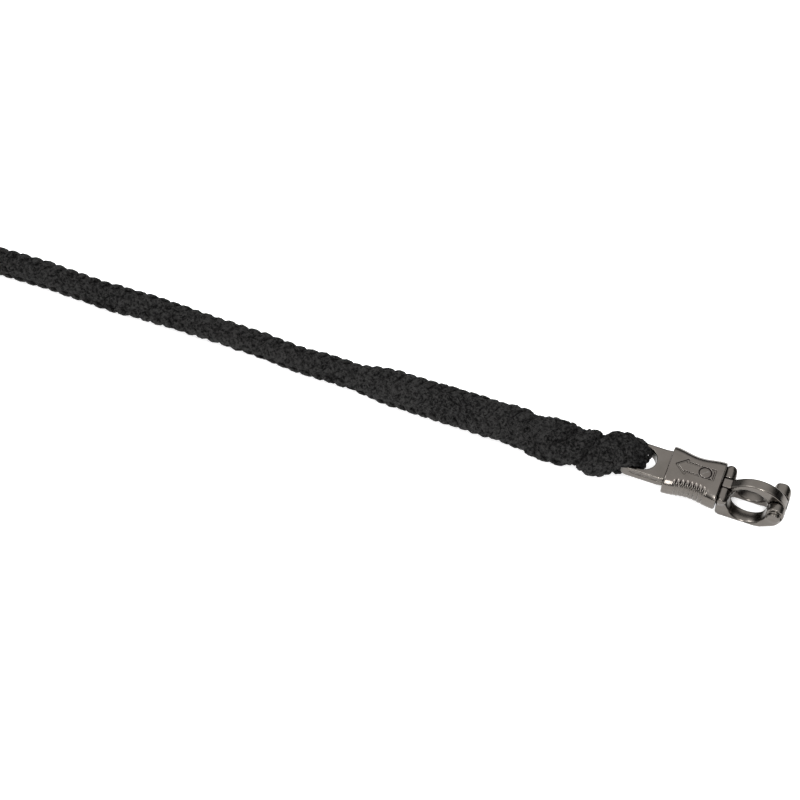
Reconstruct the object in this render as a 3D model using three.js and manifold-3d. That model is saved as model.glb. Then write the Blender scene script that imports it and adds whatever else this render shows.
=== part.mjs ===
// A braided lead rope with a quick-release panic snap, as an assembly of its separate pieces.
// Millimetres, +Z up. The rope and the snap lie on the plane z = 0 with +X towards the snap's nose.
// The origin is below the middle of the snap with its spliced eye.
import * as THREE from 'three';
import { mergeVertices } from 'three/addons/utils/BufferGeometryUtils.js';
import Module from 'manifold-3d';

const wasm = await Module();
wasm.setup();

// ---- driving dimensions ----
const GAP = 0.3;

const ROPE = { radius: 8.5, sides: 12 };
const SPLICE = { tailRadius: 7.2, hollowRadius: 7.6 };
const HANK = { x: -525.5, y: 48.3, straight: 149, outer: 50, bottom: 1.6, top: 33.3 };
const TIE = { width: 25, thickness: 1.3 };
const ROPE_END = { x: -579, radius: 8.8, length: 22, turn: 41.5, z: 24.8 };

const SNAP = { x: 62, y: 1.6, z: 13.5 };
const PLATE = {
  end: -28.4, halfWidth: 11.2, halfThick: 4.1, corner: 5, bevel: 0.9, holeX: -16.5, hole: 8.3,
};
const SLOT = { start: 1.5, end: 24.6, halfWidth: 3.1 };
const SLEEVE = { length: 32, halfWidth: 15.1, waist: 2.2, halfThick: 7.7, corner: 6 };
const SLEEVE_HOLLOW = { halfWidth: 11.55, halfThick: 4.5 };
const PIN = { x: 21.9, radius: 2, headRadius: 3.7, headThick: 1.2 };
const SPRING = { start: 1.9, wire: 0.45, radius: 2.2, turns: 8 };
const LUG = { x: 35.9, z: 2.1, radius: 2.4, halfLength: 13.5 };
const JAW = {
  start: 33.4, halfWidth: 11.8, floor: -13.5, top: 2.6, nose: 75, corner: 5,
  troughX: 52.2, trough: 10.9, windowHalfWidth: 3.7,
};
const TONGUE = { halfWidth: 3.4, clearance: 0.5 };
const HINGE = { x: 68.8, z: 0.2, pin: 2, lug: 6, knuckle: 5.8, halfLength: 9.8 };
const UPPER = { x: 56, z: -6, radius: 19.6, ringX: 52, ringZ: -1.5, ringLength: 10.8, ringHeight: 9.7 };

const black = (name) => new THREE.MeshStandardMaterial({ name, color: 0x17181a, roughness: 0.95 });
const gunmetal = (name) =>
  new THREE.MeshStandardMaterial({ name, color: 0x6a6462, roughness: 0.35, metalness: 1 });

// ---- solids ----
function toSolid(geometry) {
  const bare = geometry.clone();
  bare.deleteAttribute('normal');
  bare.deleteAttribute('uv');
  const merged = mergeVertices(bare, 1e-4);
  return new wasm.Manifold(new wasm.Mesh({
    numProp: 3,
    vertProperties: new Float32Array(merged.attributes.position.array),
    triVerts: new Uint32Array(merged.index.array),
  }));
}

function toGeometry(solid) {
  const { vertProperties, triVerts } = solid.getMesh();
  const geometry = new THREE.BufferGeometry();
  geometry.setAttribute('position', new THREE.BufferAttribute(vertProperties, 3));
  geometry.setIndex(new THREE.BufferAttribute(triVerts, 1));
  geometry.computeVertexNormals();
  return geometry;
}

function combine(first, { add = [], cut = [] }) {
  let solid = toSolid(first);
  for (const geometry of add) solid = solid.add(toSolid(geometry));
  for (const geometry of cut) solid = solid.subtract(toSolid(geometry));
  return toGeometry(solid);
}

// A closed skin through rings of points, each ring with the same number of points.
function loft(rings) {
  const count = rings[0].length;
  const positions = [];
  const index = [];
  const middle = (ring) => ring.reduce((sum, p) => sum.add(p), new THREE.Vector3()).divideScalar(count);
  rings.flat().forEach((p) => positions.push(p.x, p.y, p.z));
  for (let i = 0; i + 1 < rings.length; i += 1) {
    for (let j = 0; j < count; j += 1) {
      const k = (j + 1) % count;
      const a = i * count + j;
      const b = i * count + k;
      index.push(a, b, a + count, b, b + count, a + count);
    }
  }
  const first = positions.length / 3;
  const last = (rings.length - 1) * count;
  [middle(rings[0]), middle(rings[rings.length - 1])].forEach((p) => positions.push(p.x, p.y, p.z));
  for (let j = 0; j < count; j += 1) {
    const k = (j + 1) % count;
    index.push(first, k, j, first + 1, last + j, last + k);
  }
  const geometry = new THREE.BufferGeometry();
  geometry.setAttribute('position', new THREE.Float32BufferAttribute(positions, 3));
  geometry.setIndex(index);
  return geometry;
}

// A flat outline in X and Z, extruded along Y from y0 to y1.
function sideExtrude(shape, y0, y1, curveSegments = 16) {
  return new THREE.ExtrudeGeometry(shape, { depth: y1 - y0, bevelEnabled: false, curveSegments })
    .rotateX(Math.PI / 2)
    .translate(0, y1, 0);
}

// A flat outline in X and Y, extruded along Z from z0 to z1, with an optional bevel inside those limits.
function planExtrude(shape, z0, z1, bevel = 0, curveSegments = 16) {
  return new THREE.ExtrudeGeometry(shape, {
    depth: z1 - z0 - 2 * bevel,
    bevelEnabled: bevel > 0,
    bevelSize: bevel,
    bevelOffset: -bevel,
    bevelThickness: bevel,
    bevelSegments: 1,
    curveSegments,
  }).translate(0, 0, z0 + bevel);
}

const box = (x0, x1, y0, y1, z0, z1) =>
  new THREE.BoxGeometry(x1 - x0, y1 - y0, z1 - z0)
    .translate((x0 + x1) / 2, (y0 + y1) / 2, (z0 + z1) / 2);

const crossCylinder = (radius, y0, y1, x, z, sides = 24) =>
  new THREE.CylinderGeometry(radius, radius, y1 - y0, sides).translate(x, (y0 + y1) / 2, z);

const uprightCylinder = (radius, z0, z1, x, y, sides = 24) =>
  new THREE.CylinderGeometry(radius, radius, z1 - z0, sides)
    .rotateX(Math.PI / 2)
    .translate(x, y, (z0 + z1) / 2);

function stadium(x0, x1, halfWidth) {
  const shape = new THREE.Shape();
  shape.absarc(x1 - halfWidth, 0, halfWidth, -Math.PI / 2, Math.PI / 2, false);
  shape.absarc(x0 + halfWidth, 0, halfWidth, Math.PI / 2, 1.5 * Math.PI, false);
  return shape;
}

// ---- rope ----
// Where the free rope runs, from the splice to the first run of the hank.
const STANDING_ROUTE = [
  [-137, -2.0, 8.5],
  [-152, -1.9, 8.5],
  [-170, -2.7, 8.5],
  [-186, -1.8, 8.5],
  [-202, -0.9, 8.5],
  [-218, -0.7, 8.5],
  [-234, -0.8, 8.5],
  [-250, -0.6, 8.5],
  [-266, -0.5, 8.5],
  [-282, -1.3, 8.5],
  [-298, -1.9, 8.5],
  [-314, -1.5, 8.5],
  [-330, -0.9, 8.5],
  [-346, -1.2, 8.5],
  [-362, -1.7, 8.5],
  [-378, -1.7, 8.6],
  [-394, -1.7, 9.0],
  [-408, -1.7, 9.5],
];

// The thick stretch, as [x, y, radius].
const SPLICE_STATIONS = [
  [-136.5, -2.0, 8.5],
  [-130, -2.5, 9.3],
  [-122, -3.0, 10.7],
  [-114, -3.3, 11.4],
  [-95, -3.3, 11.8],
  [-70, -3.1, 12.1],
  [-45, -3.0, 12.6],
  [-21, -3.1, 12.9],
];

// The crossing between splice and eye, as [x, y, half height, half width, middle height].
const TUCK_STATIONS = [
  [-20.7, -3.1, 12.9, 12.9, 12.9],
  [-12, -3.1, 12.8, 12.9, 12.9],
  [-3, -2.9, 12.8, 12.7, 13.0],
  [5, -2.3, 12.7, 11.6, 13.1],
  [11.7, -1.2, 12.4, 9.8, 13.3],
];

// The eye, in the snap's own frame, as [x, y, z, half thickness, half width].
const EYE_STATIONS = [
  [-50, -2.8, 6.3, 6.0, 9.4],
  [-42, -1.9, 8.5, 5.6, 8.6],
  [-34, -1.0, 9.6, 5.4, 8.1],
  [-27.5, -0.4, 9.7, 5.4, 7.9],
  [-22.3, -0.1, 8.6, 4.9, 7.0],
  [-18.9, 0, 5.0, 4.6, 6.3],
  [-18.1, 0, 0, 4.6, 6.0],
  [-18.9, 0, -4.7, 4.5, 6.3],
  [-22.3, -0.1, -8.1, 4.5, 7.0],
  [-27.5, -0.4, -8.8, 4.5, 8.0],
  [-34, -1.0, -8.9, 4.5, 8.4],
  [-42, -1.9, -8.3, 5.0, 8.8],
  [-50, -2.8, -6.4, 5.9, 9.4],
];

const turnOf = (j, sides) => (2 * Math.PI * j) / sides;

function uprightRing(x, y, z, halfHeight, halfWidth, sides = ROPE.sides) {
  return Array.from({ length: sides }, (_, j) => new THREE.Vector3(
    x,
    y + halfWidth * Math.cos(turnOf(j, sides)),
    z + halfHeight * Math.sin(turnOf(j, sides)),
  ));
}

function standingRope() {
  const section = new THREE.Shape();
  section.absarc(0, 0, ROPE.radius, 0, 2 * Math.PI, false);
  const route = new THREE.CatmullRomCurve3(STANDING_ROUTE.map((p) => new THREE.Vector3(...p)));
  return new THREE.ExtrudeGeometry(section, {
    steps: 14,
    curveSegments: ROPE.sides / 2,
    extrudePath: route,
    bevelEnabled: false,
  });
}

function splice() {
  const skin = loft(SPLICE_STATIONS.map(([x, y, r]) => uprightRing(x, y, r, r, r)));
  const first = SPLICE_STATIONS[0][0] - 1;
  const hollow = loft([
    uprightRing(first, -2.0, 8.5, 5, 5),
    uprightRing(-125, -2.8, 10.1, 5, 5),
    uprightRing(-114, -3.3, 11.4, SPLICE.hollowRadius, SPLICE.hollowRadius),
    uprightRing(-20, -3.1, 12.9, SPLICE.hollowRadius, SPLICE.hollowRadius),
  ]);
  return combine(skin, { cut: [hollow] });
}

function buriedTail() {
  const r = SPLICE.tailRadius;
  return loft([
    uprightRing(-112, -3.3, 11.4, 0.6 * r, 0.6 * r),
    uprightRing(-104, -3.3, 11.6, r, r),
    uprightRing(-21.3, -3.1, 12.9, r, r),
  ]);
}

function tuck() {
  return loft(TUCK_STATIONS.map(([x, y, h, w, z]) => uprightRing(x, y, z, h, w)));
}

function eyeLoop() {
  const centre = new THREE.CatmullRomCurve3(EYE_STATIONS.map(([x, y, z]) => new THREE.Vector3(x, y, z)));
  const last = EYE_STATIONS.length - 1;
  const rings = EYE_STATIONS.map(([x, y, z, halfThick, halfWidth], i) => {
    const along = i === 0 || i === last
      ? new THREE.Vector3(i === 0 ? 1 : -1, 0, 0)
      : centre.getTangent(i / last);
    const across = new THREE.Vector3(0, 1, 0);
    const out = new THREE.Vector3().crossVectors(along, across).normalize();
    return Array.from({ length: ROPE.sides }, (_, j) => new THREE.Vector3(x, y, z)
      .addScaledVector(across, halfWidth * Math.cos(turnOf(j, ROPE.sides)))
      .addScaledVector(out, halfThick * Math.sin(turnOf(j, ROPE.sides))));
  });
  return loft(rings);
}

function hank() {
  const reach = HANK.outer + ROPE.radius;
  const half = HANK.straight / 2 + reach;
  const outline = planExtrude(stadium(HANK.x - half, HANK.x + half, reach), HANK.bottom, HANK.top);
  const bed = ROPE_END.radius + GAP;
  const halfLength = ROPE_END.length / 2 + GAP;
  const seat = box(
    ROPE_END.x - halfLength, ROPE_END.x + halfLength,
    ROPE_END.turn - bed, ROPE_END.turn + 2 * bed,
    ROPE_END.z - bed, HANK.top + 1,
  );
  return combine(outline, { cut: [seat] }).translate(0, HANK.y, 0);
}

function ropeEnd() {
  return new THREE.CylinderGeometry(ROPE_END.radius, ROPE_END.radius, ROPE_END.length, 20)
    .rotateZ(Math.PI / 2)
    .translate(ROPE_END.x, HANK.y + ROPE_END.turn, ROPE_END.z);
}

function hankTie() {
  const inner = HANK.outer + ROPE.radius + GAP;
  const outer = inner + TIE.thickness;
  const [x0, x1] = [HANK.x - TIE.width / 2, HANK.x + TIE.width / 2];
  return combine(
    box(x0, x1, -outer, outer, 0, HANK.top + GAP + TIE.thickness),
    { cut: [box(x0 - 1, x1 + 1, -inner, inner, TIE.thickness, HANK.top + GAP)] },
  ).translate(0, HANK.y, 0);
}

// ---- snap, in its own frame: x = 0 at the sleeve's rope end, z = 0 on the shank's axis ----
function eyePlateAndShank() {
  const { end, halfWidth, halfThick, corner, bevel, holeX, hole } = PLATE;
  const [centreX, centreY] = [end + corner, halfWidth - corner];
  const outline = new THREE.Shape();
  outline.moveTo(34, -halfWidth);
  outline.lineTo(34, halfWidth);
  outline.absarc(centreX, centreY, corner, Math.PI / 2, Math.PI, false);
  outline.absarc(centreX, -centreY, corner, Math.PI, 1.5 * Math.PI, false);
  return combine(planExtrude(outline, -halfThick, halfThick, bevel), {
    cut: [
      box(SLOT.start, SLOT.end, -SLOT.halfWidth, SLOT.halfWidth, -halfThick - 1, halfThick + 1),
      uprightCylinder(hole, -halfThick - 1, halfThick + 1, holeX, 0, 32),
    ],
  });
}

// The lower jaw's side view: lug, trough, hinge lug and flat underside.
function lowerJawSide() {
  const side = new THREE.Shape();
  const { start, top, troughX, trough, floor } = JAW;
  side.moveTo(start, top);
  side.lineTo(start, floor + 2.6);
  side.quadraticCurveTo(start, floor, start + 2.8, floor);
  side.lineTo(58, floor);
  side.quadraticCurveTo(62, floor + 0.6, 66, floor + 3.4);
  side.quadraticCurveTo(71.3, -7.2, 73.2, -3.9);
  side.absarc(HINGE.x, HINGE.z, HINGE.lug, -0.75, 2.3, false);
  side.absarc(troughX, 0, trough, -0.05, -3.14, true);
  side.lineTo(start + 5.2, top);
  return side;
}

// The lower jaw's outline from above: straight sides and a round nose.
function lowerJawPlan() {
  const { start, halfWidth, nose, corner } = JAW;
  const plan = new THREE.Shape();
  plan.moveTo(start - 1, -halfWidth);
  plan.absarc(nose - corner, corner - halfWidth, corner, -Math.PI / 2, 0, false);
  plan.absarc(nose - corner, halfWidth - corner, corner, 0, Math.PI / 2, false);
  plan.lineTo(start - 1, halfWidth);
  return plan;
}

function snapBody() {
  const arms = toSolid(sideExtrude(lowerJawSide(), -JAW.halfWidth, JAW.halfWidth))
    .intersect(toSolid(planExtrude(lowerJawPlan(), -30, 30)));
  const lugs = crossCylinder(LUG.radius, -LUG.halfLength, LUG.halfLength, LUG.x, LUG.z);
  const free = TONGUE.halfWidth + TONGUE.clearance;
  const window = new THREE.Shape();
  window.absellipse(JAW.troughX, 0, 11, JAW.windowHalfWidth, 0, 2 * Math.PI, false);
  const swing = crossCylinder(HINGE.knuckle + 0.8, -free, free, HINGE.x, HINGE.z);
  return combine(eyePlateAndShank(), {
    add: [toGeometry(arms), lugs],
    cut: [
      planExtrude(window, -30, 2, 0, 12),
      box(29.4, 43, -free, free, -2.4, 30),
      box(62, 90, -free, free, HINGE.z, 30),
      swing,
      box(HINGE.x + 1, 90, -free, free, -30, 1),
      crossCylinder(HINGE.pin + GAP, -30, 30, HINGE.x, HINGE.z, 16),
    ],
  });
}

function roundedSection(x, halfWidth, halfThick, corner) {
  const perCorner = 5;
  const ring = [];
  [[1, 1], [-1, 1], [-1, -1], [1, -1]].forEach(([sy, sz], quarter) => {
    for (let i = 0; i < perCorner; i += 1) {
      const a = ((quarter + i / (perCorner - 1)) * Math.PI) / 2;
      ring.push(new THREE.Vector3(
        x,
        sy * (halfWidth - corner) + corner * Math.cos(a),
        sz * (halfThick - corner) + corner * Math.sin(a),
      ));
    }
  });
  return ring;
}

function releaseSleeve() {
  const { length, halfWidth, waist, halfThick, corner } = SLEEVE;
  const steps = 12;
  const rings = Array.from({ length: steps + 1 }, (_, i) => {
    const t = i / steps;
    const pull = waist * Math.sin(Math.PI * t) ** 2;
    const ends = i === 0 || i === steps ? 0.5 : 0;
    return roundedSection(t * length, halfWidth - pull - ends, halfThick - ends, corner);
  });
  const { halfWidth: hw, halfThick: ht } = SLEEVE_HOLLOW;
  return combine(loft(rings), {
    cut: [
      box(-1, length + 1, -hw, hw, -ht, ht),
      uprightCylinder(PIN.radius + GAP, -10, 10, PIN.x, 0, 16),
      uprightCylinder(PIN.headRadius + GAP, halfThick - PIN.headThick - GAP, 10, PIN.x, 0, 28),
    ],
  });
}

function sleevePin() {
  const top = SLEEVE.halfThick;
  return combine(uprightCylinder(PIN.radius, -top, top - 0.2, PIN.x, 0, 16), {
    add: [uprightCylinder(PIN.headRadius, top - PIN.headThick, top, PIN.x, 0, 28)],
  });
}

class Helix extends THREE.Curve {
  constructor(x0, x1, radius, turns) {
    super();
    Object.assign(this, { x0, x1, radius, turns });
  }

  getPoint(t, target = new THREE.Vector3()) {
    const a = 2 * Math.PI * this.turns * t;
    return target.set(
      this.x0 + (this.x1 - this.x0) * t,
      this.radius * Math.cos(a),
      this.radius * Math.sin(a),
    );
  }
}

function releaseSpring() {
  const { start, wire, radius, turns } = SPRING;
  const section = new THREE.Shape();
  section.absarc(0, 0, wire, 0, 2 * Math.PI, false);
  return new THREE.ExtrudeGeometry(section, {
    steps: turns * 9,
    curveSegments: 3,
    extrudePath: new Helix(start + wire, PIN.x - PIN.radius - wire - 0.4, radius, turns),
    bevelEnabled: false,
  });
}

// The upper jaw's side view: an arch from the tongue to the knuckle round the hinge pin.
function hingedJaw() {
  const { x, z, radius, ringX, ringZ, ringLength, ringHeight } = UPPER;
  const side = new THREE.Shape();
  side.moveTo(31.4, -1.4);
  side.lineTo(31.4, 1.3);
  side.lineTo(32.9, 1.6);
  side.lineTo(33.4, 4.7);
  side.lineTo(38.6, 5.2);
  side.absarc(x, z, radius, 2.27, 0.37, true);
  side.absarc(HINGE.x, HINGE.z, HINGE.knuckle, 0.3, -2.84, true);
  side.absellipse(ringX, ringZ, ringLength, ringHeight, 0, Math.PI, false);
  return combine(sideExtrude(side, -TONGUE.halfWidth, TONGUE.halfWidth, 20), {
    cut: [crossCylinder(HINGE.pin + GAP, -30, 30, HINGE.x, HINGE.z, 16)],
  });
}

function hingePin() {
  return crossCylinder(HINGE.pin, -HINGE.halfLength, HINGE.halfLength - 1, HINGE.x, HINGE.z, 16);
}

// ---- the assembly ----
function piece(name, geometry, material) {
  const mesh = new THREE.Mesh(geometry, material);
  mesh.name = name;
  return mesh;
}

const leadRope = new THREE.Group();
const yarn = black('braid');
const strap = black('strap');
const cast = gunmetal('casting');
const steel = gunmetal('pin steel');

leadRope.add(
  piece('rope_standing', standingRope(), yarn),
  piece('rope_hank', hank(), yarn),
  piece('rope_end', ropeEnd(), strap),
  piece('hank_tie', hankTie(), strap),
  piece('rope_splice', splice(), yarn),
  piece('rope_tail', buriedTail(), yarn),
  piece('rope_tuck', tuck(), yarn),
);

const snap = new THREE.Group();
snap.position.set(SNAP.x, SNAP.y, SNAP.z);
snap.add(
  piece('rope_eye_loop', eyeLoop(), yarn),
  piece('snap_body', snapBody(), cast),
  piece('release_sleeve', releaseSleeve(), cast),
  piece('sleeve_pin', sleevePin(), steel),
  piece('release_spring', releaseSpring(), steel),
  piece('hinged_jaw', hingedJaw(), cast),
  piece('hinge_pin', hingePin(), steel),
);
leadRope.add(snap);

export default leadRope;
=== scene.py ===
"""A braided lead rope with a spliced eye and a panic snap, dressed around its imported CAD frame.

Lengths in this file are millimetres unless a name ends in _M. Two frames are used: the row frame,
and the snap's own frame, whose x = 0 is the rope end of the release sleeve at rest, with y = 0 on
the snap's middle plane and z = 0 on its shank. Blender's objects are in metres in the row frame.
"""

import math

import bpy
import numpy as np
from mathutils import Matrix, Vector


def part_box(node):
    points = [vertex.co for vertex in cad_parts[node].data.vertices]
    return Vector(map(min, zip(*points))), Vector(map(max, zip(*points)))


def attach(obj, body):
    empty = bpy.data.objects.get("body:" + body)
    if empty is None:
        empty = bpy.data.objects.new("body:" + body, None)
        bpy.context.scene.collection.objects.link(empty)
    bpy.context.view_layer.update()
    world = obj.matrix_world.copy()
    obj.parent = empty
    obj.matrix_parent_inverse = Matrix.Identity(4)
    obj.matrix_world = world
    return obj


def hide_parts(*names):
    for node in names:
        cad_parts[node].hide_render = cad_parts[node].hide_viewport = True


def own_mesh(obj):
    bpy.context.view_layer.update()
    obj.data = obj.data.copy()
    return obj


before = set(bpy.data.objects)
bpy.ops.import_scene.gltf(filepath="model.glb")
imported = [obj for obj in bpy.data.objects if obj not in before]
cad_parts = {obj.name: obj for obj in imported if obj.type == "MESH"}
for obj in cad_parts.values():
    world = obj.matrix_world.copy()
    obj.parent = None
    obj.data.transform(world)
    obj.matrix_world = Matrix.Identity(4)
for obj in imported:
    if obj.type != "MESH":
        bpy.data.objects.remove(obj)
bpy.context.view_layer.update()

MM = 0.001


def middle(node):
    low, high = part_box(node)
    return (low + high) / 2 / MM


sleeve_low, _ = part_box("release_sleeve")
SNAP = np.array([sleeve_low.x / MM, middle("release_sleeve").y, middle("release_sleeve").z])

# ---------------------------------------------------------------- camera
AZIMUTH, ELEVATION, ROLL = math.radians(9.75), math.radians(55), math.radians(10)
LENS, SENSOR = 250, 36
FIELD_M, CLIP_END_M = 0.48, 50
# Where the snap's origin falls from the middle of the view, as parts of its width.
ORIGIN_RIGHT, ORIGIN_DOWN = 0.33625, 0.08563


def make_camera():
    sa, ca, se, ce = math.sin(AZIMUTH), math.cos(AZIMUTH), math.sin(ELEVATION), math.cos(ELEVATION)
    back = Vector((sa * ce, -ca * ce, se))
    level, rise = Vector((ca, sa, 0)), Vector((-sa * se, ca * se, ce))
    right = level * math.cos(ROLL) + rise * math.sin(ROLL)
    up = rise * math.cos(ROLL) - level * math.sin(ROLL)
    target = Vector(SNAP) * MM - right * (ORIGIN_RIGHT * FIELD_M) + up * (ORIGIN_DOWN * FIELD_M)
    data = bpy.data.cameras.new("camera")
    data.lens, data.sensor_width = LENS, SENSOR
    data.clip_end = CLIP_END_M
    camera = bpy.data.objects.new("camera", data)
    bpy.context.scene.collection.objects.link(camera)
    for column, axis in enumerate((right, up, back)):
        for row in range(3):
            camera.matrix_world[row][column] = axis[row]
    camera.location = target + back * (FIELD_M * LENS / SENSOR)
    bpy.context.scene.camera = camera


make_camera()


# ---------------------------------------------------------------- materials
class Nodes:
    """Adds shader nodes to one material and joins them."""

    def __init__(self, name):
        self.material = bpy.data.materials.new(name)
        self.material.use_nodes = True
        self.tree = self.material.node_tree
        self.shader = next(n for n in self.tree.nodes if n.type == "BSDF_PRINCIPLED")

    def add(self, kind, inputs=None, **settings):
        node = self.tree.nodes.new("ShaderNode" + kind)
        for key, value in settings.items():
            setattr(node, key, value)
        for key, value in (inputs or {}).items():
            self.feed(node.inputs[key], value)
        return node

    def feed(self, socket, value):
        if isinstance(value, bpy.types.NodeSocket):
            self.tree.links.new(value, socket)
        else:
            socket.default_value = value

    def shade(self, **values):
        for key, value in values.items():
            self.feed(self.shader.inputs[key.replace("_", " ")], value)

    def ramp(self, factor, *stops):
        node = self.add("ValToRGB", {"Fac": factor})
        elements = node.color_ramp.elements
        while len(elements) < len(stops):
            elements.new(0.5)
        for element, (place, colour) in zip(elements, stops):
            element.position = place
            element.color = (*colour, 1)
        return node.outputs["Color"]

    def noise(self, vector, scale, detail=3.0, roughness=0.55, distortion=0.0):
        return self.add("TexNoise", {
            "Vector": vector, "Scale": scale, "Detail": detail,
            "Roughness": roughness, "Distortion": distortion,
        }).outputs["Fac"]

    def math(self, operation, a, b):
        return self.add("Math", {0: a, 1: b}, operation=operation).outputs[0]

    def bump(self, height, distance, strength=1.0, normal=None):
        inputs = {"Height": height, "Distance": distance, "Strength": strength}
        if normal is not None:
            inputs["Normal"] = normal
        return self.add("Bump", inputs).outputs["Normal"]

    def place(self):
        return self.add("TexCoord").outputs["Object"]


def grey(value, warmth=0.0):
    return (value * (1 + warmth), value, value * (1 - warmth))


def yarn_material(name, dark, light, roughness):
    """Plied yarns lying in a carrier. The map named strand runs along it in centimetres."""
    n = Nodes(name)
    strand = n.add("UVMap", uv_map="strand").outputs["UV"]
    plies = n.add("TexWave", {
        "Vector": n.add("Mapping", {
            "Vector": strand, "Rotation": (0, 0, 0.9), "Scale": (5.2, 7.5, 1),
        }).outputs["Vector"],
        "Scale": 0.62, "Distortion": 3.0, "Detail": 2.0, "Detail Scale": 1.6,
    }, bands_direction="Y").outputs["Fac"]
    place = n.place()
    tufts = n.noise(place, 700, 1.5, 0.7, 0.6)
    fuzz = n.noise(place, 2300, 3, 0.7)
    broad = n.noise(place, 55, 2)
    # Painted shade and highlight: the colour follows the same ply and tuft noises as the bumps below,
    # darker in their pits as painted shade and lighter on their tops as painted highlight, over random
    # fibre tone.
    tone_and_pit_shade = n.math("ADD", n.math("MULTIPLY", plies, 0.1), n.math("MULTIPLY", tufts, 0.8))
    tone_and_pit_shade = n.math("ADD", tone_and_pit_shade, n.math("MULTIPLY", fuzz, 0.12))
    tone_and_pit_shade = n.math("MULTIPLY", tone_and_pit_shade, n.math("ADD", n.math("MULTIPLY", broad, 0.35), 0.83))
    colour = n.ramp(tone_and_pit_shade, (0.42, grey(dark, 0.03)), (0.58, grey(light, 0.02)))
    normal = n.bump(plies, 0.0004, 0.7)
    normal = n.bump(tufts, 0.0018, 1.0, normal)
    normal = n.bump(fuzz, 0.0004, 0.6, normal)
    n.shade(
        Base_Color=colour, Roughness=roughness, Normal=normal,
        Sheen_Weight=0.02, Sheen_Roughness=0.5, Sheen_Tint=(0.8, 0.8, 0.8, 1), Specular_IOR_Level=0.05,
    )
    return n.material


def metal_material(name, dark, light, rough):
    """Tumbled, dull nickel over a zinc casting: cloudy sheen, fine grain, convex edges painted brighter as
    rubbed wear and painted highlight, and painted shade in hollows.
    """
    n = Nodes(name)
    place = n.place()
    cloud = n.noise(place, 90, 4, 0.6)
    grains = n.noise(place, 1900, 2, 0.6)
    dents = n.noise(place, 420, 2, 0.5)
    lie = n.add("NewGeometry").outputs["Pointiness"]
    # Painted shade: where pointiness is low, in hollows and creases, the colour is mixed towards a fifth
    # of the dark tone.
    hollow = n.ramp(lie, (0.41, grey(1.0)), (0.485, grey(0.0)))
    # Convex edges are painted brighter from pointiness, partly as rubbed wear and partly as a painted
    # highlight.
    edge = n.ramp(lie, (0.53, grey(0.0)), (0.62, grey(1.0)))
    body = n.ramp(cloud, (0.3, grey(dark, 0.105)), (0.72, grey(light, 0.095)))
    edge_wear_and_painted_light = n.add("Mix", {
        "Factor": edge, 6: body, 7: (*grey(min(1.0, light * 1.4), 0.05), 1),
    }, data_type="RGBA").outputs[2]
    edge_wear_and_painted_light = n.add("Mix", {
        "Factor": hollow, 6: edge_wear_and_painted_light, 7: (*grey(dark * 0.2, 0.05), 1),
    }, data_type="RGBA").outputs[2]
    roughness = n.math("ADD", n.math("MULTIPLY", grains, 0.06), rough)
    normal = n.bump(dents, 0.00022, 0.25)
    normal = n.bump(grains, 0.00006, 0.15, normal)
    n.shade(Base_Color=edge_wear_and_painted_light, Metallic=1.0, Roughness=roughness, Normal=normal)
    return n.material


def strap_material():
    """A woven band, ribbed along and across."""
    n = Nodes("tie_strap")
    place = n.place()
    ribs = n.add("TexWave", {"Vector": place, "Scale": 260.0, "Distortion": 0.6}, bands_direction="Y")
    cross = n.add("TexWave", {"Vector": place, "Scale": 200.0, "Distortion": 0.4}, bands_direction="X")
    weave = n.math("MULTIPLY", ribs.outputs["Fac"], cross.outputs["Fac"])
    fuzz = n.noise(place, 2400, 3, 0.7)
    colour = n.ramp(n.math("ADD", n.math("MULTIPLY", weave, 0.5), n.math("MULTIPLY", fuzz, 0.5)),
                    (0.2, grey(0.004)), (0.8, grey(0.022)))
    normal = n.bump(weave, 0.0003, 0.8)
    n.shade(
        Base_Color=colour, Roughness=0.8, Normal=n.bump(fuzz, 0.0001, 0.5, normal),
        Sheen_Weight=0.03, Specular_IOR_Level=0.12,
    )
    return n.material


ROPE_YARN = yarn_material("rope_yarn", 0.0004, 0.027, 0.85)
CASTING = metal_material("casting", 0.088, 0.108, 0.2)
JAW_CASTING = metal_material("jaw_casting", 0.092, 0.112, 0.18)
SLEEVE_CASTING = metal_material("sleeve_casting", 0.09, 0.11, 0.19)
PIN_STEEL = metal_material("pin_steel", 0.085, 0.105, 0.22)
SPRING_STEEL = metal_material("spring_steel", 0.16, 0.24, 0.2)
TIE_STRAP = strap_material()


# ---------------------------------------------------------------- meshes
def mesh_piece(name, points, faces, material, body, replaced=(), uv=None):
    """points are millimetres in the row frame, faces are quads."""
    mesh = bpy.data.meshes.new(name)
    mesh.vertices.add(len(points))
    mesh.vertices.foreach_set("co", (np.asarray(points, float) * MM).ravel())
    mesh.loops.add(faces.size)
    mesh.loops.foreach_set("vertex_index", faces.ravel())
    mesh.polygons.add(len(faces))
    mesh.polygons.foreach_set("loop_start", np.arange(0, faces.size, faces.shape[1]))
    mesh.update(calc_edges=True)
    mesh.shade_smooth()
    if uv is not None:
        mesh.uv_layers.new(name="strand").data.foreach_set("uv", uv.ravel())
    mesh.materials.append(material)
    piece = bpy.data.objects.new(name, mesh)
    bpy.context.scene.collection.objects.link(piece)
    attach(piece, body)
    if replaced:
        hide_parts(*replaced)
    return piece


def ring_faces(rings, sides, closed=False):
    """Quads over rings of points, each ring closed on itself. closed joins the last to the first."""
    i = np.arange(rings if closed else rings - 1)[:, None] * sides
    j = np.arange(sides)[None, :]
    after, turned = (i + sides) % (rings * sides), (j + 1) % sides
    return np.stack([i + j, i + turned, after + turned, after + j], -1).reshape(-1, 4)


def unit(v):
    return v / np.linalg.norm(v, axis=-1, keepdims=True)


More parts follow.
